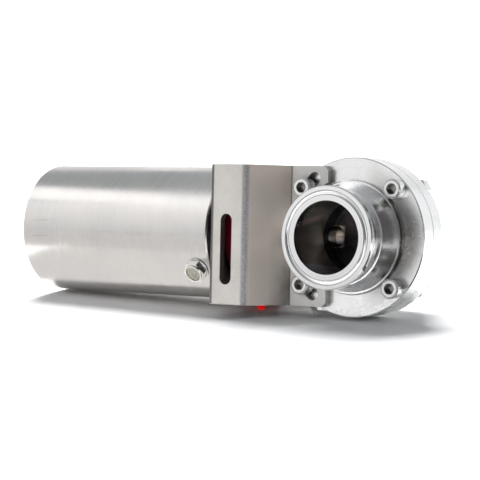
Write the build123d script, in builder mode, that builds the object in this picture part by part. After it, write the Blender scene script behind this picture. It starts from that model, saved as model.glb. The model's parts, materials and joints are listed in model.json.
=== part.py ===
"""Sanitary butterfly valve with a spring-return pneumatic actuator.

Frame: millimetres, +Z up with the valve lying as it is laid on a bench.
The origin is the centre of the front clamp face.  The flow bore runs along +Y,
the stem and the actuator lie along X with the actuator towards -X.
At rest the valve is closed and the spring is extended.
"""

from build123d import *

import math
import os

# --------------------------------------------------------------- dimensions
FACE_TO_FACE = 72.0
MID_Y = FACE_TO_FACE / 2

# valve body
PORT_R = 17.8
FERRULE_R = 25.25
FERRULE_RIM = 2.9
NECK_R = 19.05
FLANGE_R = 39.5
FLANGE_T = 10.0
HUB_TOP_R = 23.8
HUB_FOOT_R = 27.0
BOLT_X = 24.1
BOLT_Z = 24.1
BOLT_HOLE_R = 3.3

# seat and disc
SEAT_R = 17.5
SEAT_OUTER_R = 22.1
SEAT_HALF_W = 7.6
DISC_R = 17.42
STEM_R = 5.0
STEM_SQUARE = 7.0
STEM_END_X = -53.0
BUSH_R = 8.0

# bracket bent from sheet
SHEET = 4.0
BRACKET_H = 70.0
BASE_X = -69.5
ARM_Y = 35.5
BEND_1_X = -47.5
BEND_2_X = -36.0
PLATE_END_X = -12.2
NOTCH_R = 29.4
WINDOW_X = -57.8
WINDOW_Z = -7.4
WINDOW_HALF_L = 17.7
WINDOW_HALF_W = 3.35
SLOT_END_X = 19.85
SLOT_END_Z = 28.6
BASE_HOLE_R = 14.0
BASE_SCREW_R = 18.0

# actuator
TUBE_R = 34.3
TUBE_BORE_R = 32.3
TUBE_BACK_X = -191.5
TUBE_FRONT_X = -70.7
RING_GROOVE_R = 33.2
BACK_COVER_X = -182.0
BACK_RING_X = -189.1
FRONT_COVER_X = -86.0
FRONT_RING_X = -74.1
RING_T = 1.3
COVER_R = 32.2
BOSS_R = 26.0
VENT_X = -78.7
VENT_ANGLE = 32.0
VENT_THREAD_R = 4.0

# helical cam drive
STROKE = 36.0
PIN_X = -130.0
PIN_R = 3.0
CAM_R = 12.0
CAM_END_X = -134.4
CAM_GROOVE_W = 6.6
CAM_GROOVE_FLOOR_R = 7.7
JOURNAL_R = 8.0
SLEEVE_R = 20.5
SLEEVE_BORE_R = 16.3
HUB_R = 16.2
HUB_BORE_R = 12.15
PISTON_BACK_X = -181.6
PISTON_FRONT_X = -171.6
PISTON_HUB_X = -125.0
SPRING_R = 26.5
SPRING_WIRE_R = 2.25
SPRING_TURNS = 5.4

# rotating parts in the bracket
COUPLING_R = 13.0
COUPLING_BACK_X = -63.6
COUPLING_FRONT_X = -43.4
DRIVE_SQUARE = 10.0
POINTER_X = -58.7
POINTER_R = 2.25
POINTER_TIP = 39.0
INDICATOR_R = 27.0

os.makedirs("parts", exist_ok=True)

STEM_AXIS = Axis((0, MID_Y, 0), (1, 0, 0))
STEM_PLANE = Plane(origin=(0, MID_Y, 0), x_dir=(1, 0, 0), z_dir=(0, 0, 1))
VENT_DIRECTION = Vector(
    0, -math.cos(math.radians(VENT_ANGLE)), -math.sin(math.radians(VENT_ANGLE))
)
VENT_PLANE = Plane(origin=(VENT_X, MID_Y, 0), x_dir=(1, 0, 0), z_dir=VENT_DIRECTION)


def save(piece, name):
    """Name the finished piece and write its file."""
    piece.part.label = name
    export_step(piece.part, f"parts/{name}.step")


def outline_on(plane, points):
    """Closed outline through the points, lying on the given plane."""
    with BuildSketch(plane) as outline:
        with BuildLine():
            Polyline(*points, close=True)
        make_face()
    return outline.sketch


def stem_outline(*points):
    """Outline of (x, radius) points to be turned about the stem axis."""
    return outline_on(STEM_PLANE, points)


def port_outline(*points):
    """Outline of (radius, y) points to be turned about the port axis."""
    return outline_on(Plane.XY, points)


def cross_plane(x, turn=0):
    """Plane across the stem axis at x, facing +X, local x turned from +Y to +Z."""
    across = (0, math.cos(math.radians(turn)), math.sin(math.radians(turn)))
    return Plane(origin=(x, MID_Y, 0), x_dir=across, z_dir=(1, 0, 0))


def port_plane(y):
    """Plane across the port axis at y, looking along +Y, local x along +X."""
    return Plane(origin=(0, y, 0), x_dir=(1, 0, 0), z_dir=(0, 1, 0))


# ------------------------------------------------------------- valve bodies
def body_half():
    """Ferrule, neck, conical hub and bolted flange of the front half."""
    flange_y = MID_Y - FLANGE_T
    taper_y = FERRULE_RIM + (FERRULE_R - NECK_R) * math.tan(math.radians(20))
    seat_y = MID_Y - SEAT_HALF_W - 0.1
    with BuildPart() as half:
        with BuildSketch(Plane.XY):
            with BuildLine():
                Polyline(
                    (PORT_R, 0),
                    (FERRULE_R - 0.5, 0),
                    (FERRULE_R, 0.5),
                    (FERRULE_R, FERRULE_RIM - 0.5),
                    (FERRULE_R - 0.5, FERRULE_RIM),
                    (NECK_R + 0.4, taper_y),
                    (NECK_R, taper_y + 0.4),
                    (NECK_R, 10.9),
                    (NECK_R + 0.4, 12.0),
                    (NECK_R + 1.4, 12.7),
                    (NECK_R + 2.4, 12.9),
                    (HUB_TOP_R - 0.8, 12.9),
                    (HUB_TOP_R - 0.2, 13.1),
                    (HUB_TOP_R, 13.6),
                    (HUB_FOOT_R, 23.0),
                    (HUB_FOOT_R - 0.6, 23.3),
                    (HUB_FOOT_R - 0.6, 24.0),
                    (HUB_FOOT_R + 0.8, 24.1),
                    (HUB_FOOT_R + 0.9, 25.3),
                    (HUB_FOOT_R + 1.5, flange_y),
                    (FLANGE_R - 0.5, flange_y),
                    (FLANGE_R, flange_y + 0.5),
                    (FLANGE_R, MID_Y - 0.25),
                    (FLANGE_R - 0.25, MID_Y),
                    (SEAT_OUTER_R + 0.1, MID_Y),
                    (SEAT_OUTER_R + 0.1, seat_y),
                    (PORT_R, seat_y),
                    close=True,
                )
            make_face()
        revolve(axis=Axis.Y)
        # half-round gasket groove in the clamp face
        with BuildSketch(Plane.XY):
            with Locations((21.75, 0)):
                Circle(1.1)
        revolve(axis=Axis.Y, mode=Mode.SUBTRACT)
        # bolt holes through the flange
        with BuildSketch(port_plane(flange_y)):
            with GridLocations(2 * BOLT_X, 2 * BOLT_Z, 2, 2):
                Circle(BOLT_HOLE_R)
        extrude(amount=FLANGE_T, mode=Mode.SUBTRACT)
        # stem passage towards the actuator and blind bearing hole opposite
        with BuildSketch(cross_plane(-FLANGE_R - 1)):
            Circle(STEM_R + 0.3)
        extrude(amount=2 * FLANGE_R - 8, mode=Mode.SUBTRACT)
        with BuildSketch(cross_plane(-FLANGE_R - 1)):
            Circle(BUSH_R + 0.02)
        extrude(amount=16.5, mode=Mode.SUBTRACT)
        with BuildSketch(cross_plane(24.0)):
            Circle(BUSH_R + 0.02)
        extrude(amount=11.5, mode=Mode.SUBTRACT)
    return half.part


with BuildPart() as front_body:
    add(body_half())
save(front_body, "front_body")

with BuildPart() as rear_body:
    mirror(body_half(), about=Plane.XZ.offset(-MID_Y))
save(rear_body, "rear_body")

# ---------------------------------------------------------------- seat ring
with BuildPart() as seat_ring:
    with BuildSketch(Plane.XY.move(Location((0, MID_Y, 0)))):
        with BuildLine():
            Polyline(
                (PORT_R, -SEAT_HALF_W),
                (SEAT_OUTER_R, -SEAT_HALF_W),
                (SEAT_OUTER_R, SEAT_HALF_W),
                (PORT_R, SEAT_HALF_W),
                (PORT_R - 0.1, SEAT_HALF_W - 0.8),
                (SEAT_R, 2.5),
                (SEAT_R, -2.5),
                (PORT_R - 0.1, -SEAT_HALF_W + 0.8),
                close=True,
            )
        make_face()
    revolve(axis=Axis.Y)
    with BuildSketch(cross_plane(-SEAT_OUTER_R - 1)):
        Circle(STEM_R + 0.05)
    extrude(amount=2 * SEAT_OUTER_R + 2, mode=Mode.SUBTRACT)
save(seat_ring, "seat_ring")

# -------------------------------------------------------- disc and its stem
LENS_HALF_T = 2.4
TRUNNION_R = 5.8
TRUNNION_X = 11.5

with BuildPart() as disc:
    with Locations((0, MID_Y, 0)):
        Sphere(DISC_R)
    with BuildSketch(port_plane(MID_Y - LENS_HALF_T)):
        Circle(DISC_R + 1)
    extrude(amount=2 * LENS_HALF_T, mode=Mode.INTERSECT)
    # shallow domes on both faces
    revolve(
        port_outline(
            (0, MID_Y - 3.6),
            (6.0, MID_Y - 3.5),
            (14.5, MID_Y - LENS_HALF_T),
            (14.5, MID_Y + LENS_HALF_T),
            (6.0, MID_Y + 3.5),
            (0, MID_Y + 3.6),
        ),
        axis=Axis.Y,
    )
    # trunnions at the rim, tapering into the faces of the disc
    for side in (-1, 1):
        with BuildSketch(cross_plane(side * 7.6)):
            Ellipse(2.6, 4.4)
        with BuildSketch(cross_plane(side * TRUNNION_X)):
            Circle(TRUNNION_R)
        loft()
        with BuildSketch(cross_plane(side * TRUNNION_X)):
            Circle(TRUNNION_R)
        extrude(amount=side * (15.9 - TRUNNION_X))
    # upper stem with its driving square, lower stub
    with BuildSketch(cross_plane(-43.0)):
        Circle(STEM_R)
    extrude(amount=43.0 - TRUNNION_X)
    with BuildSketch(cross_plane(STEM_END_X)):
        Rectangle(STEM_SQUARE, STEM_SQUARE)
    extrude(amount=-43.0 - STEM_END_X)
    with BuildSketch(cross_plane(TRUNNION_X)):
        Circle(STEM_R)
    extrude(amount=34.0 - TRUNNION_X)
save(disc, "disc")


def bush(back_x, front_x, bore_r, outer_r):
    """Plain bearing bush on the stem axis with chamfered bore edges."""
    return stem_outline(
        (back_x, bore_r + 0.4),
        (back_x + 0.4, bore_r),
        (front_x - 0.4, bore_r),
        (front_x, bore_r + 0.4),
        (front_x, outer_r),
        (back_x, outer_r),
    )


with BuildPart() as upper_stem_bush:
    revolve(bush(-39.0, -24.1, STEM_R + 0.03, BUSH_R), axis=STEM_AXIS)
save(upper_stem_bush, "upper_stem_bush")

with BuildPart() as lower_stem_bush:
    revolve(bush(24.1, 35.3, STEM_R + 0.03, BUSH_R), axis=STEM_AXIS)
save(lower_stem_bush, "lower_stem_bush")

# ---------------------------------------------------------- flange fasteners
SHANK_R = 2.95
HEAD_R = 4.9
HEAD_H = 6.0
WASHER_T = 1.4
NUT_T = 5.0
TIP = 1.6
FLANGE_FRONT_Y = MID_Y - FLANGE_T
FLANGE_REAR_Y = MID_Y + FLANGE_T


def cap_screw(grip):
    """Socket cap screw along Z: head above the seat, shank of length grip below."""
    with BuildPart() as screw:
        Cylinder(HEAD_R, HEAD_H, align=(Align.CENTER, Align.CENTER, Align.MIN))
        chamfer(screw.edges().group_by(Axis.Z)[-1], 0.5)
        Cylinder(SHANK_R, grip, align=(Align.CENTER, Align.CENTER, Align.MAX))
        chamfer(screw.edges().group_by(Axis.Z)[0], 0.5)
        with BuildSketch(Plane.XY.offset(HEAD_H)):
            RegularPolygon(2.5, 6, major_radius=False)
        extrude(amount=-3.2, mode=Mode.SUBTRACT)
    return screw.part


def split_washer():
    """Split spring washer lying on the XY plane."""
    with BuildPart() as washer:
        with BuildSketch():
            Circle(4.8)
            Circle(3.1, mode=Mode.SUBTRACT)
            with Locations((4, 0)):
                Rectangle(3.4, 0.7, rotation=25, mode=Mode.SUBTRACT)
        extrude(amount=WASHER_T)
    return washer.part


def hex_nut():
    """Hexagon nut with chamfered corners lying on the XY plane."""
    with BuildPart() as nut:
        Cylinder(5.77, NUT_T, align=(Align.CENTER, Align.CENTER, Align.MIN))
        chamfer(nut.edges(), 0.6)
        with BuildSketch():
            RegularPolygon(5.0, 6, major_radius=False)
        extrude(amount=NUT_T, mode=Mode.INTERSECT)
        Hole(SHANK_R + 0.03)
    return nut.part


def at_front(sites, y):
    """Places on a face at y that looks towards -Y."""
    return Locations(*[Location((x, y, z), (90, 0, 0)) for x, z in sites])


def at_rear(sites, y):
    """Places on a face at y that looks towards +Y."""
    return Locations(*[Location((x, y, z), (-90, 0, 0)) for x, z in sites])


FREE_SITES = [(BOLT_X, BOLT_Z), (BOLT_X, -BOLT_Z)]
BRACKET_SITES = [(-BOLT_X, BOLT_Z), (-BOLT_X, -BOLT_Z)]
FREE_GRIP = 2 * FLANGE_T + WASHER_T + NUT_T + TIP
BRACKET_GRIP = FREE_GRIP + 2 * SHEET

with BuildPart() as body_bolts:
    with at_front(FREE_SITES, FLANGE_FRONT_Y):
        add(cap_screw(FREE_GRIP))
save(body_bolts, "body_bolts")

with BuildPart() as bracket_bolts:
    with at_front(BRACKET_SITES, FLANGE_FRONT_Y - SHEET):
        add(cap_screw(BRACKET_GRIP))
save(bracket_bolts, "bracket_bolts")

with BuildPart() as body_washers:
    with at_rear(FREE_SITES, FLANGE_REAR_Y):
        add(split_washer())
save(body_washers, "body_washers")

with BuildPart() as bracket_washers:
    with at_rear(BRACKET_SITES, FLANGE_REAR_Y + SHEET):
        add(split_washer())
save(bracket_washers, "bracket_washers")

with BuildPart() as body_nuts:
    with at_rear(FREE_SITES, FLANGE_REAR_Y + WASHER_T):
        add(hex_nut())
save(body_nuts, "body_nuts")

with BuildPart() as bracket_nuts:
    with at_rear(BRACKET_SITES, FLANGE_REAR_Y + SHEET + WASHER_T):
        add(hex_nut())
save(bracket_nuts, "bracket_nuts")

# ------------------------------------------------------------------ bracket
SLOT_LENGTH = math.hypot(BOLT_X - SLOT_END_X, SLOT_END_Z - BOLT_Z)
SLOT_TILT = math.degrees(math.atan2(SLOT_END_Z - BOLT_Z, BOLT_X - SLOT_END_X))
SCREW_TURN = 45
BEND_R = [4.6, 1.0, 1.5, 1.5, 1.0, 4.6]

with BuildPart() as bracket:
    with BuildSketch(STEM_PLANE.offset(-BRACKET_H / 2)):
        with BuildLine():
            # inner surface of the sheet; the thickness is laid outwards
            FilletPolyline(
                (PLATE_END_X, -FLANGE_T),
                (BEND_2_X + 1.2, -FLANGE_T),
                (BEND_1_X - 1.2, -ARM_Y + SHEET),
                (BASE_X + SHEET, -ARM_Y + SHEET),
                (BASE_X + SHEET, ARM_Y - SHEET),
                (BEND_1_X - 1.2, ARM_Y - SHEET),
                (BEND_2_X + 1.2, FLANGE_T),
                (PLATE_END_X, FLANGE_T),
                radius=BEND_R,
            )
            offset(amount=SHEET, side=Side.LEFT)
        make_face()
    extrude(amount=BRACKET_H)
    tip_edges = bracket.edges().filter_by(Axis.Y).group_by(Axis.X)[-1]
    chamfer(tip_edges, 2.2)
    # round notch for the hub, slanted bolt slots and the pointer window
    with BuildSketch(port_plane(MID_Y - ARM_Y - 1)):
        Circle(NOTCH_R)
        for side in (-1, 1):
            mid_x = -(BOLT_X + SLOT_END_X) / 2
            mid_z = side * (BOLT_Z + SLOT_END_Z) / 2
            with Locations((mid_x, mid_z)):
                SlotCenterToCenter(
                    SLOT_LENGTH, 2 * BOLT_HOLE_R, rotation=side * SLOT_TILT
                )
        with Locations((WINDOW_X, -WINDOW_Z)):
            SlotOverall(2 * WINDOW_HALF_L, 2 * WINDOW_HALF_W, rotation=90)
    extrude(amount=2 * ARM_Y + 2, mode=Mode.SUBTRACT)
    # shaft hole and countersunk screw holes in the base
    with Locations(Location((BASE_X + SHEET, MID_Y, 0), (0, 90, 0))):
        Hole(BASE_HOLE_R, depth=2 * SHEET)
        with PolarLocations(BASE_SCREW_R, 4, start_angle=SCREW_TURN):
            CounterSinkHole(2.65, 4.9, depth=2 * SHEET)
save(bracket, "bracket")

with BuildPart() as bracket_screws:
    with Locations(Location((BASE_X + SHEET, MID_Y, 0), (0, 90, 0))):
        with PolarLocations(BASE_SCREW_R, 4, start_angle=SCREW_TURN):
            Cone(2.5, 4.7, 2.2, align=(Align.CENTER, Align.CENTER, Align.MAX))
            Cylinder(2.5, 12.0, align=(Align.CENTER, Align.CENTER, Align.MAX))
    with BuildSketch(cross_plane(BASE_X + SHEET)):
        with PolarLocations(BASE_SCREW_R, 4, start_angle=SCREW_TURN):
            RegularPolygon(1.5, 6, major_radius=False)
    extrude(amount=-1.7, mode=Mode.SUBTRACT)
save(bracket_screws, "bracket_screws")

# ------------------------------------------------- coupling and indicator
with BuildPart() as coupling:
    revolve(
        stem_outline(
            (COUPLING_BACK_X, 0),
            (COUPLING_BACK_X, COUPLING_R - 0.6),
            (COUPLING_BACK_X + 0.6, COUPLING_R),
            (COUPLING_FRONT_X - 0.6, COUPLING_R),
            (COUPLING_FRONT_X, COUPLING_R - 0.6),
            (COUPLING_FRONT_X, 0),
        ),
        axis=STEM_AXIS,
    )
    with BuildSketch(cross_plane(COUPLING_BACK_X)):
        Rectangle(DRIVE_SQUARE + 0.1, DRIVE_SQUARE + 0.1)
    extrude(amount=9.5, mode=Mode.SUBTRACT)
    with BuildSketch(cross_plane(COUPLING_FRONT_X)):
        Rectangle(STEM_SQUARE + 0.1, STEM_SQUARE + 0.1)
    extrude(amount=-10.0, mode=Mode.SUBTRACT)
save(coupling, "coupling")

with BuildPart() as indicator:
    revolve(
        stem_outline(
            (-63.2, COUPLING_R + 0.03),
            (-63.2, COUPLING_R + 3.0),
            (-61.5, COUPLING_R + 3.0),
            (-61.5, INDICATOR_R - 3.4),
            (-64.6, INDICATOR_R - 3.4),
            (-64.6, INDICATOR_R - 0.5),
            (-64.1, INDICATOR_R),
            (-56.5, INDICATOR_R),
            (-56.0, INDICATOR_R - 0.5),
            (-56.0, COUPLING_R + 3.0),
            (-53.0, COUPLING_R + 3.0),
            (-53.0, COUPLING_R + 0.03),
        ),
        axis=STEM_AXIS,
    )
    # pointer with a rounded tip, down at rest
    with BuildSketch(Plane(origin=(POINTER_X, MID_Y, -20.0), z_dir=(0, 0, -1))):
        Circle(POINTER_R)
    extrude(amount=POINTER_TIP - POINTER_R - 20.0)
    with Locations((POINTER_X, MID_Y, POINTER_R - POINTER_TIP)):
        Sphere(POINTER_R)
save(indicator, "indicator")

# --------------------------------------------------------- actuator housing
with BuildPart() as actuator_housing:
    revolve(
        stem_outline(
            (TUBE_BACK_X, TUBE_BORE_R + 0.5),
            (TUBE_BACK_X + 0.5, TUBE_BORE_R),
            (BACK_RING_X - RING_T - 0.1, TUBE_BORE_R),
            (BACK_RING_X - RING_T - 0.1, RING_GROOVE_R),
            (BACK_RING_X + 0.05, RING_GROOVE_R),
            (BACK_RING_X + 0.05, TUBE_BORE_R),
            (FRONT_RING_X - 0.05, TUBE_BORE_R),
            (FRONT_RING_X - 0.05, RING_GROOVE_R),
            (FRONT_RING_X + RING_T + 0.1, RING_GROOVE_R),
            (FRONT_RING_X + RING_T + 0.1, TUBE_BORE_R),
            (TUBE_FRONT_X - 0.5, TUBE_BORE_R),
            (TUBE_FRONT_X, TUBE_BORE_R + 0.5),
            (TUBE_FRONT_X, TUBE_R - 0.6),
            (TUBE_FRONT_X - 0.6, TUBE_R),
            (TUBE_BACK_X + 0.6, TUBE_R),
            (TUBE_BACK_X, TUBE_R - 0.6),
        ),
        axis=STEM_AXIS,
    )
    # hole and spot face for the vent plug
    with BuildSketch(VENT_PLANE.offset(TUBE_R - 6)):
        Circle(VENT_THREAD_R + 0.3)
    extrude(amount=8, mode=Mode.SUBTRACT)
    with BuildSketch(VENT_PLANE.offset(TUBE_R - 0.7)):
        Circle(6.4)
    extrude(amount=2, mode=Mode.SUBTRACT)
save(actuator_housing, "actuator_housing")


def snap_ring(plane, gap_turn):
    """Internal retaining ring with its gap and two plier ears."""
    with BuildPart() as ring:
        with BuildSketch(plane):
            Circle(RING_GROOVE_R - 0.1)
            Circle(RING_GROOVE_R - 3.1, mode=Mode.SUBTRACT)
            with PolarLocations(RING_GROOVE_R - 4.2, 2, gap_turn, 14):
                Circle(2.6)
            with PolarLocations(RING_GROOVE_R - 2.0, 1, gap_turn + 7):
                Rectangle(12, 2.2, mode=Mode.SUBTRACT)
            with PolarLocations(RING_GROOVE_R - 4.2, 2, gap_turn, 14):
                Circle(1.0, mode=Mode.SUBTRACT)
        extrude(amount=RING_T)
    return ring.part


with BuildPart() as rear_cover:
    revolve(
        stem_outline(
            (BACK_RING_X + 0.1, 0),
            (BACK_RING_X + 0.1, COVER_R - 0.5),
            (BACK_RING_X + 0.6, COVER_R),
            (-187.0, COVER_R),
            (-187.0, COVER_R - 2.0),
            (-184.2, COVER_R - 2.0),
            (-184.2, COVER_R),
            (BACK_COVER_X - 0.5, COVER_R),
            (BACK_COVER_X, COVER_R - 0.5),
            (BACK_COVER_X, 0),
        ),
        axis=STEM_AXIS,
    )
    # threaded air port in the middle
    with Locations(Location((BACK_RING_X, MID_Y, 0), (0, -90, 0))):
        Hole(4.3, depth=20)
save(rear_cover, "rear_cover")

with BuildPart() as rear_cover_ring:
    add(snap_ring(cross_plane(BACK_RING_X - RING_T), 83))
save(rear_cover_ring, "rear_cover_ring")


def o_ring(x, centre_r, wire_r):
    """O-ring on the stem axis."""
    with BuildPart() as ring:
        with BuildSketch(STEM_PLANE):
            with Locations((x, centre_r)):
                Circle(wire_r)
        revolve(axis=STEM_AXIS)
    return ring.part


with BuildPart() as rear_cover_seal:
    add(o_ring(-185.6, COVER_R - 0.98, 1.0))
save(rear_cover_seal, "rear_cover_seal")

# front cover carries the slotted guide sleeve of the cam drive
with BuildPart() as front_cover:
    revolve(
        stem_outline(
            (FRONT_COVER_X - 0.3, JOURNAL_R + 2.0),
            (-71.5, JOURNAL_R + 2.0),
            (-71.5, JOURNAL_R + 0.3),
            (BASE_X - 0.05, JOURNAL_R + 0.3),
            (BASE_X - 0.05, BOSS_R - 0.5),
            (BASE_X - 0.55, BOSS_R),
            (FRONT_RING_X - 0.1, BOSS_R),
            (FRONT_RING_X - 0.1, COVER_R),
            (-82.9, COVER_R),
            (-82.9, COVER_R - 2.0),
            (-85.3, COVER_R - 2.0),
            (-85.3, COVER_R),
            (FRONT_COVER_X, COVER_R),
            (FRONT_COVER_X, SLEEVE_R),
            (PISTON_FRONT_X + STROKE + 1.4, SLEEVE_R),
            (PISTON_FRONT_X + STROKE + 1.4, SLEEVE_BORE_R),
            (FRONT_COVER_X - 0.3, SLEEVE_BORE_R),
        ),
        axis=STEM_AXIS,
    )
    # straight slots that keep the cam pins from turning
    sleeve_slot = PIN_X + STROKE + PIN_R + 0.3 - (PISTON_FRONT_X + STROKE)
    with BuildSketch(Plane.XY):
        with Locations((PISTON_FRONT_X + STROKE + sleeve_slot / 2, MID_Y)):
            Rectangle(sleeve_slot, 2 * PIN_R + 0.1)
    extrude(amount=SLEEVE_R + 1, both=True, mode=Mode.SUBTRACT)
    # screw holes for the bracket
    with Locations(Location((BASE_X - 0.05, MID_Y, 0), (0, 90, 0))):
        with PolarLocations(BASE_SCREW_R, 4, start_angle=SCREW_TURN):
            Hole(2.53, depth=9.5)
    # vent thread and the drilling that joins it to the spring chamber
    with BuildSketch(VENT_PLANE.offset(COVER_R - 6.0)):
        Circle(VENT_THREAD_R + 0.03)
    extrude(amount=8, mode=Mode.SUBTRACT)
    with BuildSketch(VENT_PLANE.offset(24.0)):
        Circle(1.5)
    extrude(amount=4, mode=Mode.SUBTRACT)
    with BuildSketch(cross_plane(FRONT_COVER_X - 1)):
        with PolarLocations(24.0, 1, start_angle=180 + VENT_ANGLE):
            Circle(1.5)
    extrude(amount=VENT_X - FRONT_COVER_X + 1, mode=Mode.SUBTRACT)
save(front_cover, "front_cover")

with BuildPart() as front_cover_ring:
    add(snap_ring(cross_plane(FRONT_RING_X), 83))
save(front_cover_ring, "front_cover_ring")

with BuildPart() as front_cover_seal:
    add(o_ring(-84.1, COVER_R - 0.98, 1.0))
save(front_cover_seal, "front_cover_seal")

# --------------------------------------------------------------- cam drive
GROOVE_START_X = CAM_END_X - 4.0
GROOVE_LEAD = 4 * STROKE
GROOVE_RISE = PIN_X + STROKE + PIN_R + 1.5 - GROOVE_START_X
GROOVE_START_TURN = 90 + 90 * (GROOVE_START_X - PIN_X) / STROKE
GROOVE_DEPTH = CAM_R + 1 - CAM_GROOVE_FLOOR_R
GROOVE_MID_R = CAM_GROOVE_FLOOR_R + GROOVE_DEPTH / 2


def cam_groove(turn):
    """Helical slot cutter, a quarter turn over the stroke of the piston."""
    path = Helix(GROOVE_LEAD, GROOVE_RISE, GROOVE_MID_R)
    with BuildPart() as cutter:
        with BuildSketch(Plane(origin=path @ 0, x_dir=(1, 0, 0), z_dir=path % 0)):
            Rectangle(GROOVE_DEPTH, CAM_GROOVE_W)
        sweep(path=path, is_frenet=True)
    return cross_plane(GROOVE_START_X, turn).location * cutter.part


with BuildPart() as drive_shaft:
    revolve(
        stem_outline(
            (CAM_END_X, 0),
            (CAM_END_X, CAM_R - 0.8),
            (CAM_END_X + 0.8, CAM_R),
            (-88.1, CAM_R),
            (-88.1, JOURNAL_R),
            (-69.15, JOURNAL_R),
            (-69.15, JOURNAL_R - 0.8),
            (-68.05, JOURNAL_R - 0.8),
            (-68.05, JOURNAL_R),
            (-67.0, JOURNAL_R - 0.5),
            (-67.0, 0),
        ),
        axis=STEM_AXIS,
    )
    with BuildSketch(cross_plane(-67.0)):
        Rectangle(DRIVE_SQUARE, DRIVE_SQUARE)
    extrude(amount=12.0)
    for turn in (GROOVE_START_TURN, GROOVE_START_TURN + 180):
        add(cam_groove(turn), mode=Mode.SUBTRACT)
save(drive_shaft, "drive_shaft")

with BuildPart() as shaft_bush:
    revolve(bush(-85.8, -74.4, JOURNAL_R + 0.03, JOURNAL_R + 1.98), axis=STEM_AXIS)
save(shaft_bush, "shaft_bush")

with BuildPart() as thrust_washer:
    revolve(bush(-88.0, -86.35, JOURNAL_R + 0.1, 13.5), axis=STEM_AXIS)
save(thrust_washer, "thrust_washer")

with BuildPart() as shaft_seal:
    add(o_ring(-73.0, JOURNAL_R + 1.0, 0.95))
save(shaft_seal, "shaft_seal")

with BuildPart() as shaft_ring:
    with BuildSketch(cross_plane(-69.1)):
        Circle(JOURNAL_R + 1.8)
        Circle(JOURNAL_R - 0.7, mode=Mode.SUBTRACT)
        with Locations((0, JOURNAL_R)):
            Rectangle(7.0, 8.0, mode=Mode.SUBTRACT)
    extrude(amount=1.0)
save(shaft_ring, "shaft_ring")

with BuildPart() as piston:
    revolve(
        stem_outline(
            (PISTON_BACK_X, 0),
            (PISTON_BACK_X, COVER_R - 0.7),
            (PISTON_BACK_X + 0.6, COVER_R - 0.1),
            (-178.6, COVER_R - 0.1),
            (-178.6, COVER_R - 3.2),
            (-174.6, COVER_R - 3.2),
            (-174.6, COVER_R - 0.1),
            (PISTON_FRONT_X, COVER_R - 0.1),
            (PISTON_FRONT_X, HUB_R),
            (PISTON_HUB_X - 0.6, HUB_R),
            (PISTON_HUB_X, HUB_R - 0.6),
            (PISTON_HUB_X, HUB_BORE_R),
            (PISTON_FRONT_X + 0.6, HUB_BORE_R),
            (PISTON_FRONT_X, HUB_BORE_R - 0.6),
            (PISTON_FRONT_X, 0),
        ),
        axis=STEM_AXIS,
    )
    # cross hole for the cam pins
    with Locations((PIN_X, MID_Y, 0)):
        Cylinder(PIN_R + 0.01, 40, mode=Mode.SUBTRACT)
save(piston, "piston")

with BuildPart() as piston_seal:
    revolve(
        stem_outline(
            (-178.4, COVER_R - 3.15),
            (-178.4, TUBE_BORE_R - 0.03),
            (-177.4, TUBE_BORE_R - 0.03),
            (-176.6, COVER_R - 1.0),
            (-175.8, TUBE_BORE_R - 0.03),
            (-174.8, TUBE_BORE_R - 0.03),
            (-174.8, COVER_R - 3.15),
        ),
        axis=STEM_AXIS,
    )
save(piston_seal, "piston_seal")

with BuildPart() as cam_pins:
    for side in (-1, 1):
        with BuildSketch(Plane.XY.offset(side * (CAM_GROOVE_FLOOR_R + 0.4))):
            with Locations((PIN_X, MID_Y)):
                Circle(PIN_R)
        extrude(amount=side * (SLEEVE_R - CAM_GROOVE_FLOOR_R - 0.8))
    chamfer(cam_pins.edges().filter_by(GeomType.CIRCLE), 0.3)
save(cam_pins, "cam_pins")

# ------------------------------------------------------------ return spring
SPRING_BACK_X = PISTON_FRONT_X + 0.05
SPRING_FRONT_X = FRONT_COVER_X - 0.05
COIL_RISE = SPRING_FRONT_X - SPRING_BACK_X - 2 * SPRING_WIRE_R



def return_spring():
    """Round-wire compression spring along Z with closed end turns."""
    coil = Helix(COIL_RISE / SPRING_TURNS, COIL_RISE, SPRING_R)
    with BuildPart() as wound:
        with BuildSketch(Plane(origin=coil @ 0, z_dir=coil % 0)):
            Circle(SPRING_WIRE_R)
        sweep(path=coil, is_frenet=True)
        for z in (0, COIL_RISE):
            with Locations(Location((0, 0, z), (0, 0, 90))):
                Torus(SPRING_R, SPRING_WIRE_R)
    return cross_plane(SPRING_BACK_X + SPRING_WIRE_R).location * wound.part


with BuildPart() as spring:
    add(return_spring())
save(spring, "spring")

# --------------------------------------------------------------- vent plug
with BuildPart() as vent_plug:
    with BuildSketch(VENT_PLANE.offset(COVER_R - 5.5)):
        Circle(VENT_THREAD_R)
    extrude(amount=TUBE_R - COVER_R + 5.5)
    with BuildSketch(VENT_PLANE.offset(TUBE_R - 0.65)):
        Circle(6.0)
    extrude(amount=0.9)
    with BuildSketch(VENT_PLANE.offset(TUBE_R + 0.2)):
        RegularPolygon(5.2, 6, major_radius=False)
    extrude(amount=4.2)
    with BuildSketch(VENT_PLANE.offset(TUBE_R + 4.4)):
        Circle(4.7)
    extrude(amount=0.6)
    # recess for the filter and the air passage below it
    with BuildSketch(VENT_PLANE.offset(TUBE_R + 5.0)):
        Circle(4.1)
    extrude(amount=-2.6, mode=Mode.SUBTRACT)
    with BuildSketch(VENT_PLANE.offset(TUBE_R + 5.0)):
        Circle(1.8)
    extrude(amount=-16, mode=Mode.SUBTRACT)
save(vent_plug, "vent_plug")

with BuildPart() as vent_filter:
    with BuildSketch(VENT_PLANE.offset(TUBE_R + 2.4)):
        Circle(4.08)
    extrude(amount=2.3)
    chamfer(vent_filter.edges().group_by(Axis.Y)[0], 0.2)
save(vent_filter, "vent_filter")
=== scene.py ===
import json
import math

import bpy
from mathutils import Matrix, Vector


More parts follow.
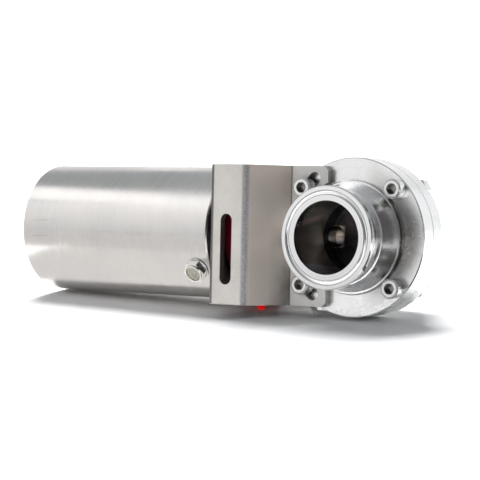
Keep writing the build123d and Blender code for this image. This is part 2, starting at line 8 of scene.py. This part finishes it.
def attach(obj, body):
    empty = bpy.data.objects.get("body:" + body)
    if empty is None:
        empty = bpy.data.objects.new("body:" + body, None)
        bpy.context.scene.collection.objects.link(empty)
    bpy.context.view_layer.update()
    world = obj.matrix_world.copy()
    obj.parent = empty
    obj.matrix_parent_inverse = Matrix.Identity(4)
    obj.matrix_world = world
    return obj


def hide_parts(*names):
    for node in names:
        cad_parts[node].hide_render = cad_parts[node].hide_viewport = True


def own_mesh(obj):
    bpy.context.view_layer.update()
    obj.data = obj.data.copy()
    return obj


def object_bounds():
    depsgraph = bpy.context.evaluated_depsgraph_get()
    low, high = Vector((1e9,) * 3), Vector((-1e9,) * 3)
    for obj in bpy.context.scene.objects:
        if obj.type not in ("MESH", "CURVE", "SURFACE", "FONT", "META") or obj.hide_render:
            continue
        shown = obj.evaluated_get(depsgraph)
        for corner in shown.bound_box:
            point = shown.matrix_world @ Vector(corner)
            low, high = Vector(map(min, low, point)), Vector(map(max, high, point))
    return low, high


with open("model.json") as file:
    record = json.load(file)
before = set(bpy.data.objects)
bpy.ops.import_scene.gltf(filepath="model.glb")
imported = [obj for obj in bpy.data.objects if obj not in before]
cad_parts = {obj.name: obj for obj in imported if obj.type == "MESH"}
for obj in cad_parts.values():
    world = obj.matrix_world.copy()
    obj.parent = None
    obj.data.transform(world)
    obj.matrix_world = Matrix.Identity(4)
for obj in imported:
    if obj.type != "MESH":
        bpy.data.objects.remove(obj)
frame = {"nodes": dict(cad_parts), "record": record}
cad_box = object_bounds()

# Metres. The bore runs along Y, the stem and the actuator along X.
MID_Y = 0.036  # halfway between the two clamp faces
STEM = Vector((0.0, MID_Y, 0.0))
BORE_R = 0.01796
HUB_R = 0.0272  # the flange starts outside it
GROOVE_EDGE_RADII = (0.02068, 0.02282)  # gasket groove in the ferrule's face
BOLT = 0.0241  # half the side of the bolt square
OUTER_FOLD_X = -0.0472  # bracket: side to slope
INNER_FOLD_X = -0.0328  # bracket: slope to plate
CLOSED_END_X = -0.18  # tube, near the rear cover
scene = bpy.context.scene


# ------------------------------------------------------------ node helpers
class Graph:
    """A material's node tree with short ways to add and join nodes."""

    def __init__(self, name):
        self.material = bpy.data.materials.new(name)
        self.material.use_nodes = True
        self.tree = self.material.node_tree
        self.shader = self.tree.nodes["Principled BSDF"]
        self.coords = self.add("ShaderNodeTexCoord").outputs["Object"]

    def add(self, kind, **settings):
        node = self.tree.nodes.new(kind)
        for key, value in settings.items():
            setattr(node, key, value)
        return node

    def join(self, value, socket):
        if isinstance(value, (int, float, tuple, list)):
            socket.default_value = value
        else:
            self.tree.links.new(value, socket)

    def math(self, operation, a, b=0.0):
        node = self.add("ShaderNodeMath", operation=operation)
        self.join(a, node.inputs[0])
        self.join(b, node.inputs[1])
        return node.outputs[0]

    def plus(self, a, b):
        return self.math("ADD", a, b)

    def minus(self, a, b):
        return self.math("SUBTRACT", a, b)

    def times(self, a, b):
        return self.math("MULTIPLY", a, b)

    def distance(self, value, centre):
        """How far value is from centre, either way."""
        return self.math("ABSOLUTE", self.minus(value, centre))

    def split(self):
        node = self.add("ShaderNodeSeparateXYZ")
        self.join(self.coords, node.inputs[0])
        return node.outputs[0], node.outputs[1], node.outputs[2]

    def noise(self, scale, detail=3.0, roughness=0.5, stretch=None):
        place = self.coords
        if stretch is not None:
            mapping = self.add("ShaderNodeMapping")
            self.join(place, mapping.inputs["Vector"])
            mapping.inputs["Scale"].default_value = stretch
            place = mapping.outputs[0]
        node = self.add("ShaderNodeTexNoise")
        self.join(place, node.inputs["Vector"])
        node.inputs["Scale"].default_value = scale
        node.inputs["Detail"].default_value = detail
        node.inputs["Roughness"].default_value = roughness
        return node.outputs["Fac"]

    def lines(self, along, scale, detail=4.0, roughness=0.6):
        """Fine parallel lines: noise that varies only with one value."""
        node = self.add("ShaderNodeTexNoise", noise_dimensions="1D")
        self.join(along, node.inputs["W"])
        node.inputs["Scale"].default_value = scale
        node.inputs["Detail"].default_value = detail
        node.inputs["Roughness"].default_value = roughness
        return node.outputs["Fac"]

    def cells(self, scale):
        node = self.add("ShaderNodeTexVoronoi", feature="F1")
        self.join(self.coords, node.inputs["Vector"])
        node.inputs["Scale"].default_value = scale
        return node.outputs["Distance"]

    def remap(self, value, low, high, new_low, new_high):
        node = self.add("ShaderNodeMapRange")
        self.join(value, node.inputs["Value"])
        node.inputs["From Min"].default_value = low
        node.inputs["From Max"].default_value = high
        node.inputs["To Min"].default_value = new_low
        node.inputs["To Max"].default_value = new_high
        return node.outputs["Result"]

    def rising(self, value, low, high):
        """0 below low, 1 above high."""
        return self.remap(value, low, high, 0.0, 1.0)

    def falling(self, value, low, high):
        """1 below low, 0 above high."""
        return self.remap(value, low, high, 1.0, 0.0)

    def spread(self, noise, low, high):
        """The usual range of a noise, spread from low to high."""
        return self.remap(noise, 0.3, 0.7, low, high)

    def ramp(self, value, stops):
        node = self.add("ShaderNodeValToRGB")
        self.join(value, node.inputs["Fac"])
        elements = node.color_ramp.elements
        while len(elements) < len(stops):
            elements.new(0.5)
        for element, (position, color) in zip(elements, stops):
            element.position = position
            element.color = (*color, 1.0)
        return node.outputs["Color"]

    def mix(self, factor, a, b):
        node = self.add("ShaderNodeMix", data_type="RGBA")
        self.join(factor, node.inputs[0])
        self.join((*a, 1.0) if isinstance(a, tuple) else a, node.inputs[6])
        self.join((*b, 1.0) if isinstance(b, tuple) else b, node.inputs[7])
        return node.outputs[2]

    def bump(self, height, strength, distance):
        node = self.add("ShaderNodeBump")
        self.join(height, node.inputs["Height"])
        node.inputs["Strength"].default_value = strength
        node.inputs["Distance"].default_value = distance
        return node.outputs[0]

    def radius(self, a, b):
        return self.math("SQRT", self.plus(self.times(a, a), self.times(b, b)))

    def set(self, **inputs):
        for key, value in inputs.items():
            if isinstance(value, tuple) and len(value) == 3:
                value = (*value, 1.0)
            self.join(value, self.shader.inputs[key.replace("_", " ")])


# -------------------------------------------------------------- materials
def stem_radius(g):
    """Distance from the stem's axis, and the place along it."""
    x, y, z = g.split()
    return g.radius(g.minus(y, MID_Y), z), x


def painted_corner_shade(g, reach, darkest=0.0):
    """Painted shade from ambient occlusion: 1 on open surfaces, falling to darkest deep in
    corners and sockets.
    """
    node = g.add("ShaderNodeAmbientOcclusion", samples=12)
    node.inputs["Distance"].default_value = reach
    return g.remap(node.outputs["AO"], 0.15, 0.85, darkest, 1.0)


def polished_body():
    """Turned stainless: bright ferrule and neck, satin flanges, and a bore darkened by painted
    shade.
    """
    g = Graph("polished_stainless")
    x, y, z = g.split()
    r = g.radius(x, z)
    turned = g.lines(g.plus(r, y), 2600.0, 3.0, 0.7)
    sparse = g.remap(g.lines(g.plus(r, y), 700.0, 2.0, 0.5), 0.60, 0.75, 0.0, 1.0)
    haze = g.noise(60.0, 4.0, 0.6)
    fine = g.noise(900.0, 2.0, 0.5)
    wiped = g.noise(90.0, 3.0, 0.6, stretch=(1.0, 1.0, 0.12))
    flange = g.rising(r, HUB_R, HUB_R + 0.0004)
    inside = g.falling(r, BORE_R - 0.00003, BORE_R)
    bright = g.mix(haze, (0.88, 0.88, 0.88), (0.96, 0.96, 0.955))
    satin = g.mix(g.rising(wiped, 0.35, 0.7), (0.98, 0.98, 0.975), (0.93, 0.93, 0.92))
    bright = g.mix(flange, bright, satin)
    bright = g.mix(g.times(sparse, 0.08), bright, (0.55, 0.54, 0.53))
    # painted shade: dark lines along the sharp edges of the gasket groove
    face = g.remap(y, 0.0006, 0.0009, 0.55, 0.0)
    inner, outer = (
        g.falling(g.distance(r, edge), 0.00008, 0.00026) for edge in GROOVE_EDGE_RADII
    )
    bright = g.mix(g.times(face, g.math("MAXIMUM", inner, outer)), bright, (0.10, 0.10, 0.105))
    # painted reflection: the hub's dark side, painted as a warm shade on the flange beside it
    near_hub = g.falling(r, HUB_R + 0.0003, 0.0390)
    sideways = g.rising(x, 0.006, 0.026)
    shade = g.mix(haze, (0.13, 0.115, 0.105), (0.20, 0.18, 0.165))
    bright = g.mix(g.times(flange, g.times(near_hub, sideways)), bright, shade)
    # painted shade: the bore is coloured dark, in streaks, where it lies in shade
    streak = g.noise(38.0, 4.0, 0.65, stretch=(0.5, 0.5, 2.2))
    dark = g.mix(g.rising(streak, 0.40, 0.66), (0.23, 0.205, 0.175), (0.30, 0.265, 0.235))
    # painted reflections along the bore: a warm band above the middle, a cool one at the bottom
    warm_line = g.minus(z, g.times(y, 0.18))
    band = g.falling(g.distance(warm_line, 0.0058), 0.0008, 0.0022)
    band = g.times(band, g.remap(y, 0.018, 0.026, 0.8, 0.0))
    dark = g.mix(band, dark, (0.62, 0.47, 0.42))
    cool_line = g.plus(z, g.times(y, 0.09))
    dark = g.mix(g.remap(cool_line, -0.0122, -0.0128, 0.0, 0.9), dark, (0.58, 0.57, 0.66))
    # satin flange and neck, duller bore
    neck = g.times(g.rising(y, 0.0050, 0.0060), g.minus(1.0, flange))
    rough = g.plus(g.spread(haze, 0.11, 0.16), g.spread(fine, 0.0, 0.02))
    for part, duller in ((flange, 0.12), (neck, 0.10), (inside, 0.14)):
        rough = g.plus(rough, g.times(part, duller))
    g.set(
        Base_Color=g.mix(inside, bright, dark),
        Metallic=1.0,
        Roughness=rough,
        Normal=g.bump(turned, 0.12, 0.00002),
    )
    return g.material


def disc_steel():
    """Lapped disc with turning marks round its hub; painted shade darkens the plate and a painted
    highlight brightens the hub bosses.
    """
    g = Graph("lapped_disc")
    x, y, z = g.split()
    marks = g.lines(g.radius(x, z), 2200.0, 3.0, 0.7)
    haze = g.noise(120.0, 4.0, 0.6)
    # painted shade in the corners
    open_area = painted_corner_shade(g, 0.004, 0.15)
    # painted shade: the plate is coloured near black
    plate = g.mix(haze, (0.050, 0.051, 0.056), (0.085, 0.087, 0.095))
    stem_r = g.radius(z, g.minus(y, MID_Y))
    # painted highlight: the hub bosses are coloured bright
    hub = g.times(g.falling(stem_r, 0.0058, 0.0063), g.rising(g.distance(x, 0.0), 0.0076, 0.0098))
    tone = g.mix(hub, plate, (0.90, 0.87, 0.84))
    g.set(
        Base_Color=g.mix(open_area, (0.02, 0.018, 0.016), tone),
        Metallic=1.0,
        Roughness=g.spread(haze, 0.14, 0.24),
        Normal=g.bump(marks, 0.15, 0.00003),
    )
    return g.material


def brushed_tube():
    """Tube with grain running round it, light mottling and a few scratches."""
    g = Graph("brushed_tube")
    x, _, z = g.split()
    drift = g.noise(14.0, 3.0, 0.5)
    grain = g.lines(g.plus(x, g.times(drift, 0.0006)), 5200.0, 5.0, 0.7)
    soft = g.noise(30.0, 4.0, 0.6, stretch=(1.0, 0.35, 0.35))
    mottled = g.noise(220.0, 3.0, 0.6, stretch=(1.0, 0.25, 0.25))
    scratches = g.noise(60.0, 2.0, 0.5, stretch=(0.35, 9.0, 9.0))
    scratch = g.rising(scratches, 0.74, 0.80)
    # one long shallow scratch near the closed end
    slant = g.times(g.minus(x, CLOSED_END_X), 0.03)
    off_line = g.distance(g.math("ABSOLUTE", g.minus(z, slant)), 0.0042)
    along = g.distance(x, CLOSED_END_X + 0.0005)
    cut = g.times(g.falling(off_line, 0.00008, 0.00022), g.falling(along, 0.0045, 0.0060))
    patches = g.noise(24.0, 2.0, 0.5, stretch=(1.0, 1.0, 2.2))
    tint = g.mix(soft, (0.645, 0.622, 0.605), (0.715, 0.70, 0.69))
    tint = g.mix(g.remap(patches, 0.42, 0.66, 0.0, 0.55), tint, (0.75, 0.72, 0.69))
    tone = g.mix(g.remap(mottled, 0.35, 0.75, 0.0, 0.22), tint, (0.80, 0.79, 0.78))
    g.set(
        Base_Color=g.mix(g.times(cut, 0.35), tone, (0.30, 0.29, 0.28)),
        Metallic=1.0,
        Roughness=g.plus(g.spread(grain, 0.20, 0.27), g.spread(soft, 0.0, 0.05)),
        Normal=g.bump(g.plus(grain, g.times(scratch, 0.5)), 0.20, 0.00003),
    )
    g.shader.inputs["Anisotropic"].default_value = 0.5
    return g.material


def sheet_steel():
    """Pickled sheet: warm grey, matt, finely speckled, with painted light and shade on its faces
    and folds.
    """
    g = Graph("pickled_sheet")
    x, y, z = g.split()
    speck = g.noise(1500.0, 3.0, 0.7)
    coarse = g.noise(1500.0, 2.0, 0.6)
    cloud = g.noise(45.0, 5.0, 0.65)
    mottle = g.spread(cloud, 0.0, 1.0)
    # painted light and shade: the sides, the slope and the plate of the one sheet each get a tone
    # of their own
    side = g.mix(mottle, (0.58, 0.555, 0.52), (0.74, 0.715, 0.68))
    side = g.mix(g.remap(speck, 0.35, 0.70, 0.0, 0.35), side, (0.88, 0.86, 0.83))
    slope = g.mix(mottle, (0.69, 0.62, 0.555), (0.76, 0.685, 0.625))
    face = g.mix(mottle, (0.56, 0.55, 0.53), (0.68, 0.665, 0.645))
    past_outer = g.rising(x, OUTER_FOLD_X + 0.0002, OUTER_FOLD_X + 0.0012)
    past_inner = g.rising(x, INNER_FOLD_X - 0.0001, INNER_FOLD_X + 0.0006)
    base = g.mix(past_inner, g.mix(past_outer, side, slope), face)
    # painted shade, bluish, along the edge of the outer fold
    outer_fold = g.falling(g.distance(x, OUTER_FOLD_X), 0.0009, 0.0020)
    outer_fold_shade_mask = g.times(outer_fold, g.remap(coarse, 0.36, 0.56, 0.45, 0.95))
    base = g.mix(outer_fold_shade_mask, base, (0.27, 0.275, 0.31))
    # painted reflection of the ferrule's dark side: greyer and darker low on the slope beside it
    ferrule_reflection = g.times(g.rising(x, -0.0395, -0.0345), g.falling(x, -0.0330, -0.0326))
    ferrule_reflection = g.times(ferrule_reflection, g.falling(z, -0.004, 0.006))
    ferrule_reflection = g.times(ferrule_reflection, g.remap(cloud, 0.35, 0.6, 0.4, 0.9))
    base = g.mix(ferrule_reflection, base, (0.30, 0.29, 0.275))
    # painted shade: the inner faces of the bracket's sides and base are coloured dark
    inner_face_shade = g.times(
        g.falling(g.distance(y, MID_Y), 0.0351, 0.0353),
        g.falling(g.distance(z, 0.0), 0.0346, 0.0348),
    )
    inner_face_shade = g.times(inner_face_shade, g.rising(x, -0.0692, -0.0690))
    inner_face_shade = g.times(inner_face_shade, g.falling(x, -0.0500, -0.0498))
    base = g.mix(g.times(inner_face_shade, 0.85), base, (0.12, 0.105, 0.098))
    # painted shade: a dark line along the inner fold
    inner_fold_shade = g.falling(g.distance(x, INNER_FOLD_X), 0.0001, 0.0004)
    base = g.mix(g.times(inner_fold_shade, 0.6), base, (0.16, 0.15, 0.145))
    g.set(
        # painted shade in the corners
        Base_Color=g.mix(painted_corner_shade(g, 0.0045, 0.12), (0.05, 0.046, 0.043), base),
        Metallic=0.9,
        Roughness=g.plus(g.spread(speck, 0.36, 0.50), g.spread(cloud, 0.0, 0.08)),
        Normal=g.bump(g.plus(speck, g.times(outer_fold_shade_mask, coarse)), 0.28, 0.00005),
    )
    return g.material


def bright_screws():
    """Turned screws: knurled heads, rolled threads on the free ends, and painted shade at the
    head rims, in the sockets and in the corners.
    """
    g = Graph("bright_screws")
    x, y, z = g.split()
    # the four screws sit at the corners of one square
    u = g.minus(g.distance(x, 0.0), BOLT)
    v = g.minus(g.distance(z, 0.0), BOLT)
    r = g.radius(u, v)
    knurl = g.math("SINE", g.times(g.math("ARCTAN2", u, v), 40.0))
    on_head = g.times(g.rising(r, 0.0046, 0.0048), g.falling(y, 0.020, 0.0255))
    thread = g.math("PINGPONG", y, 0.0005)
    on_thread = g.times(g.rising(r, 0.0027, 0.0029), g.rising(y, 0.040, 0.042))
    on_thread = g.times(on_thread, g.rising(r, 0.0032, 0.0031))
    relief = g.plus(
        g.times(g.times(knurl, on_head), 0.00006),
        g.times(thread, g.times(on_thread, 0.8)),
    )
    haze = g.noise(300.0, 4.0, 0.6)
    fine = g.times(g.noise(2500.0, 2.0, 0.5), 0.000006)
    # painted shade: a dark ring near the rim of each head, and dark sockets
    head_rim_shade = g.remap(g.distance(r, 0.0042), 0.0001, 0.0004, 0.55, 0.0)
    socket = g.remap(r, 0.0026, 0.0028, 0.75, 0.0)
    tone = g.mix(haze, (0.76, 0.75, 0.74), (0.90, 0.90, 0.89))
    tone = g.mix(head_rim_shade, tone, (0.16, 0.155, 0.15))
    tone = g.mix(socket, tone, (0.10, 0.09, 0.085))
    g.set(
        # painted shade in the corners
        Base_Color=g.mix(painted_corner_shade(g, 0.0022, 0.05), (0.03, 0.028, 0.026), tone),
        Metallic=1.0,
        Roughness=g.spread(haze, 0.14, 0.26),
        Normal=g.bump(g.plus(relief, fine), 1.0, 1.0),
    )
    return g.material


def machined_steel():
    """Turned inner steel: coupling, shaft and pins."""
    g = Graph("machined_steel")
    r, x = stem_radius(g)
    turned = g.lines(g.plus(r, x), 2400.0, 3.0, 0.7)
    haze = g.noise(90.0, 4.0, 0.6)
    tone = g.mix(haze, (0.45, 0.45, 0.46), (0.58, 0.58, 0.58))
    g.set(
        # painted shade in the corners
        Base_Color=g.mix(painted_corner_shade(g, 0.003, 0.2), (0.06, 0.055, 0.05), tone),
        Metallic=1.0,
        Roughness=g.spread(haze, 0.22, 0.36),
        Normal=g.bump(turned, 0.25, 0.00004),
    )
    return g.material


def chrome_plug():
    """Bright plated hexagon, with painted shade darkening its edges and corners."""
    g = Graph("chrome_plug")
    haze = g.noise(400.0, 3.0, 0.6)
    fine = g.noise(2200.0, 2.0, 0.5)
    tone = g.mix(haze, (0.80, 0.79, 0.77), (0.95, 0.94, 0.92))
    g.set(
        # painted shade in the corners and at the edges
        Base_Color=g.mix(painted_corner_shade(g, 0.0015, 0.1), (0.06, 0.055, 0.05), tone),
        Metallic=1.0,
        Roughness=g.spread(haze, 0.07, 0.13),
        Normal=g.bump(fine, 0.1, 0.00002),
    )
    return g.material


def dark_spring():
    """Oil-dark spring steel of the coil and the retaining rings."""
    g = Graph("dark_spring_steel")
    haze = g.noise(200.0, 4.0, 0.6)
    g.set(
        Base_Color=g.mix(haze, (0.10, 0.10, 0.11), (0.20, 0.19, 0.19)),
        Metallic=0.9,
        Roughness=g.spread(haze, 0.32, 0.5),
        Normal=g.bump(g.noise(1200.0), 0.2, 0.00004),
    )
    return g.material


def turned_cover():
    """Turned covers and piston, with painted shade darkening their corners."""
    g = Graph("turned_aluminium")
    r, _ = stem_radius(g)
    turned = g.lines(r, 3000.0, 4.0, 0.7)
    haze = g.noise(70.0, 4.0, 0.6)
    tone = g.mix(haze, (0.55, 0.56, 0.58), (0.68, 0.69, 0.70))
    g.set(
        # painted shade in the corners
        Base_Color=g.mix(painted_corner_shade(g, 0.006, 0.2), (0.03, 0.03, 0.03), tone),
        Metallic=1.0,
        Roughness=g.spread(haze, 0.26, 0.40),
        Normal=g.bump(turned, 0.35, 0.00004),
    )
    return g.material


def black_rubber():
    """Seat ring and seals."""
    g = Graph("black_rubber")
    cloud = g.noise(150.0, 4.0, 0.6)
    g.set(
        Base_Color=g.mix(cloud, (0.008, 0.008, 0.008), (0.018, 0.018, 0.019)),
        Roughness=g.spread(cloud, 0.42, 0.6),
        Normal=g.bump(g.noise(2500.0), 0.2, 0.00004),
    )
    g.shader.inputs["Specular IOR Level"].default_value = 0.25
    return g.material


def bush_plastic():
    """Pale bearing plastic of the bushes."""
    g = Graph("bush_plastic")
    cloud = g.noise(250.0, 4.0, 0.6)
    g.set(
        Base_Color=g.mix(cloud, (0.70, 0.68, 0.62), (0.78, 0.76, 0.71)),
        Roughness=g.spread(cloud, 0.4, 0.55),
        Normal=g.bump(g.noise(1800.0), 0.1, 0.00003),
    )
    return g.material


def red_plastic():
    """Signal red; painted shade darkens the disc inside and a painted glow brightens the
    pointer's tip.
    """
    g = Graph("red_plastic")
    r, _ = stem_radius(g)
    cloud = g.noise(120.0, 4.0, 0.6)
    tip = g.mix(cloud, (0.88, 0.006, 0.006), (0.96, 0.012, 0.010))
    outside = g.rising(r, 0.0325, 0.0345)
    # painted shade: the red disc inside is coloured dark
    disc = g.mix(cloud, (0.13, 0.004, 0.008), (0.18, 0.005, 0.012))
    g.set(
        Base_Color=g.mix(outside, disc, tip),
        # painted light: the pointer's tip glows weakly
        Emission_Color=(0.9, 0.01, 0.005),
        Emission_Strength=g.times(outside, 0.40),
        Roughness=g.spread(cloud, 0.34, 0.48),
        Normal=g.bump(g.noise(900.0), 0.12, 0.00004),
    )
    g.shader.inputs["Specular IOR Level"].default_value = 0.2
    return g.material


def sintered():
    """Pressed metal grains with dark pores between them."""
    g = Graph("sintered_metal")
    pores = g.cells(1500.0)
    grains = g.noise(2600.0, 3.0, 0.7)
    tone = g.ramp(
        pores,
        [(0.0, (0.62, 0.58, 0.50)), (0.45, (0.46, 0.42, 0.34)), (0.80, (0.06, 0.05, 0.04))],
    )
    g.set(
        Base_Color=g.mix(g.spread(grains, 0.0, 0.5), tone, (0.76, 0.72, 0.64)),
        Metallic=0.4,
        Roughness=g.spread(grains, 0.45, 0.7),
        Normal=g.bump(pores, 0.8, 0.0002),
    )
    return g.material


MAKERS = {
    "polished_steel": polished_body,
    "brushed_tube": brushed_tube,
    "sheet_steel": sheet_steel,
    "screw_steel": bright_screws,
    "inner_steel": machined_steel,
    "spring_steel": dark_spring,
    "cover_metal": turned_cover,
    "black_rubber": black_rubber,
    "bush_plastic": bush_plastic,
    "red_plastic": red_plastic,
    "filter_metal": sintered,
}
looks = {name: make() for name, make in MAKERS.items()}


def dress(obj, material):
    obj.data.materials.clear()
    obj.data.materials.append(material)


slot_of = {s["node"]: s["material_slot"] for s in frame["record"]["subparts"]}
own_look = {"disc": disc_steel(), "vent_plug": chrome_plug()}
for name, obj in frame["nodes"].items():
    dress(obj, own_look.get(name, looks[slot_of[name]]))


# ----------------------------------------------------------- return spring
# The CAD spring is rigid and slides with the piston. This copy is attached to the valve body
# instead, so its front end stays on the cover.
return_spring = bpy.data.objects.new("return_spring", frame["nodes"]["spring"].data.copy())
scene.collection.objects.link(return_spring)
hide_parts("spring")
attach(return_spring, "valve")
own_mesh(return_spring)


# ------------------------------------------------------------------ camera
AZIMUTH, ELEVATION, ROLL = (math.radians(a) for a in (33.18, 1.31, 1.24))
DISTANCE = 0.81277
SENSOR = 36.0  # millimetres
LENS = 122.5815  # millimetres
AIM_LEFT, AIM_DOWN = 0.060723, 0.001348  # how far left of the stem it stands, and below it

back = Vector(
    (
        math.sin(AZIMUTH) * math.cos(ELEVATION),
        -math.cos(AZIMUTH) * math.cos(ELEVATION),
        math.sin(ELEVATION),
    )
)
right = Vector((math.cos(AZIMUTH), math.sin(AZIMUTH), 0.0))
up = back.cross(right)
cam_right = math.cos(ROLL) * right + math.sin(ROLL) * up
cam_up = -math.sin(ROLL) * right + math.cos(ROLL) * up
place = STEM + back * DISTANCE - cam_right * AIM_LEFT - cam_up * AIM_DOWN
camera_data = bpy.data.cameras.new("camera")
camera_data.sensor_width = SENSOR
camera_data.lens = LENS
camera_data.clip_start = 0.01
camera_data.clip_end = 50.0
camera = bpy.data.objects.new("camera", camera_data)
scene.collection.objects.link(camera)
turn = Matrix((cam_right, cam_up, back)).transposed().to_4x4()
camera.matrix_world = Matrix.Translation(place) @ turn
scene.camera = camera

# ------------------------------------------------------------------ studio
FLOOR_TILT = math.radians(6.0)  # falls towards the viewer
FLOOR_RISE = 0.0272  # slope along X
FLOOR_Z = cad_box[0][2]  # the flanges stand on it
FLOOR_Y = MID_Y + 0.010  # where it is at that height
PAPER = (0.93, 0.93, 0.93, 1)
DAYLIGHT = (0.93, 0.96, 1.0, 1)


def emission(name, color, low, high=None, span=1.0):
    """Glow that grades from low to high up the card's height."""
    g = Graph(name)
    g.tree.nodes.remove(g.shader)
    glow = g.add("ShaderNodeEmission")
    glow.inputs["Color"].default_value = (*color, 1.0)
    _, up_card, _ = g.split()
    top = low if high is None else high
    g.join(g.remap(up_card, -span / 2, span / 2, low, top), glow.inputs["Strength"])
    g.join(glow.outputs[0], g.tree.nodes["Material Output"].inputs["Surface"])
    return g.material


def plane(name, centre, normal, across, width, height, material):
    """A flat rectangle of the studio, facing along normal."""
    mesh = bpy.data.meshes.new(name)
    w, h = width / 2, height / 2
    mesh.from_pydata([(-w, -h, 0), (w, -h, 0), (w, h, 0), (-w, h, 0)], [], [(0, 1, 2, 3)])
    obj = bpy.data.objects.new(name, mesh)
    scene.collection.objects.link(obj)
    z = Vector(normal).normalized()
    x = (Vector(across) - z * Vector(across).dot(z)).normalized()
    facing = Matrix((x, z.cross(x), z)).transposed().to_4x4()
    obj.matrix_world = Matrix.Translation(Vector(centre)) @ facing
    mesh.materials.append(material)
    return obj


def reflected_only(obj):
    """A reflector or flag that shows in polished metal and casts neither light nor shade."""
    obj.visible_camera = False
    obj.visible_diffuse = False
    obj.visible_shadow = False
    obj.visible_transmission = False


def card(name, azimuth, elevation, width, height, low, high=None, color=(1, 1, 1), distance=1.6):
    """Glowing card round the object; azimuth 0 is -Y, positive towards +X.

    It lights the metal only. Of all the cards, the backdrop alone shows itself.
    """
    a, e = math.radians(azimuth), math.radians(elevation)
    way = Vector((math.sin(a) * math.cos(e), -math.cos(a) * math.cos(e), math.sin(e)))
    across = Vector((-math.cos(a), -math.sin(a), 0))
    material = emission(name, color, low, high, height)
    obj = plane(name, STEM + way * distance, -way, across, width, height, material)
    obj.visible_diffuse = False
    obj.visible_camera = name == "backdrop"
    return obj


floor_normal = Vector((FLOOR_RISE, -math.tan(FLOOR_TILT), 1.0))
floor_material = bpy.data.materials.new("floor_white")
floor_material.use_nodes = True
floor_shader = floor_material.node_tree.nodes["Principled BSDF"]
floor_shader.inputs["Base Color"].default_value = PAPER
floor_shader.inputs["Roughness"].default_value = 0.9
floor_shader.inputs["Specular IOR Level"].default_value = 0.1
plane("floor", (0, FLOOR_Y, FLOOR_Z), floor_normal, right, 8.0, 8.0, floor_material)

world = bpy.data.worlds.new("studio")
scene.world = world
world.use_nodes = True
background = world.node_tree.nodes["Background"]
background.inputs["Color"].default_value = DAYLIGHT
background.inputs["Strength"].default_value = 0.38

card("backdrop", 213, 8, 1.7, 1.3, 1.04, distance=1.3)
card("wall_back_right", 156, 8, 0.75, 1.5, 0.98, color=(0.97, 0.985, 1.0), distance=1.25)
card("softbox_front", -54, 41.0, 1.4, 0.42, 1.5, 1.75)
card("wall_front_left", -42, 14.5, 1.3, 1.08, 0.80, 1.24)
card("ceiling_left", -108, 60, 1.9, 1.5, 0.47, color=(0.93, 0.97, 1.0), distance=1.9)
card("flag_front", 40, 10, 1.3, 1.2, 0.03)
card("window_front", -3, 3, 0.22, 0.5, 2.0)
card("flag_right", 113, 5, 0.75, 1.2, 0.05, color=(1.0, 0.95, 0.98))
card("wall_right", 84, 8, 0.5, 1.1, 0.5, color=(1.0, 0.97, 0.93))
near_flag = card(
    "flag_right_near", 112, 14, 0.12, 0.28, 0.07, color=(1.0, 0.9, 0.95), distance=0.19
)
reflected_only(near_flag)


def floor_strip(name, x0, x1, y0, y1, strength):
    """A strip just over the floor, which the undersides reflect; y is from the middle."""
    x, y = (x0 + x1) / 2, MID_Y + (y0 + y1) / 2
    gap = 0.0006
    z = FLOOR_Z + gap - FLOOR_RISE * x + math.tan(FLOOR_TILT) * (y - FLOOR_Y)
    glow = emission(name, (1.0, 0.985, 0.97), strength)
    reflected_only(plane(name, (x, y, z), floor_normal, (1, 0, 0), x1 - x0, y1 - y0, glow))


floor_strip("strip_near", -0.215, -0.075, -0.078, -0.015, 0.93)
floor_strip("strip_right_a", 0.042, 0.075, -0.110, 0.012, 0.06)
floor_strip("strip_right_b", 0.075, 0.220, -0.110, 0.045, 0.06)
floor_strip("strip_far", -0.700, -0.075, -0.640, -0.078, 0.79)

key_data = bpy.data.lights.new("key", "AREA")
key_data.shape = "RECTANGLE"
key_data.size = 1.1
key_data.size_y = 0.7
key_data.energy = 46.0
key = bpy.data.objects.new("key", key_data)
scene.collection.objects.link(key)
key.visible_glossy = False
key.location = STEM + Vector((-0.50, 0.40, 1.35))
key.rotation_euler = (STEM - key.location).to_track_quat("-Z", "Y").to_euler()

scene.view_settings.view_transform = "Standard"
scene.view_settings.look = "None"
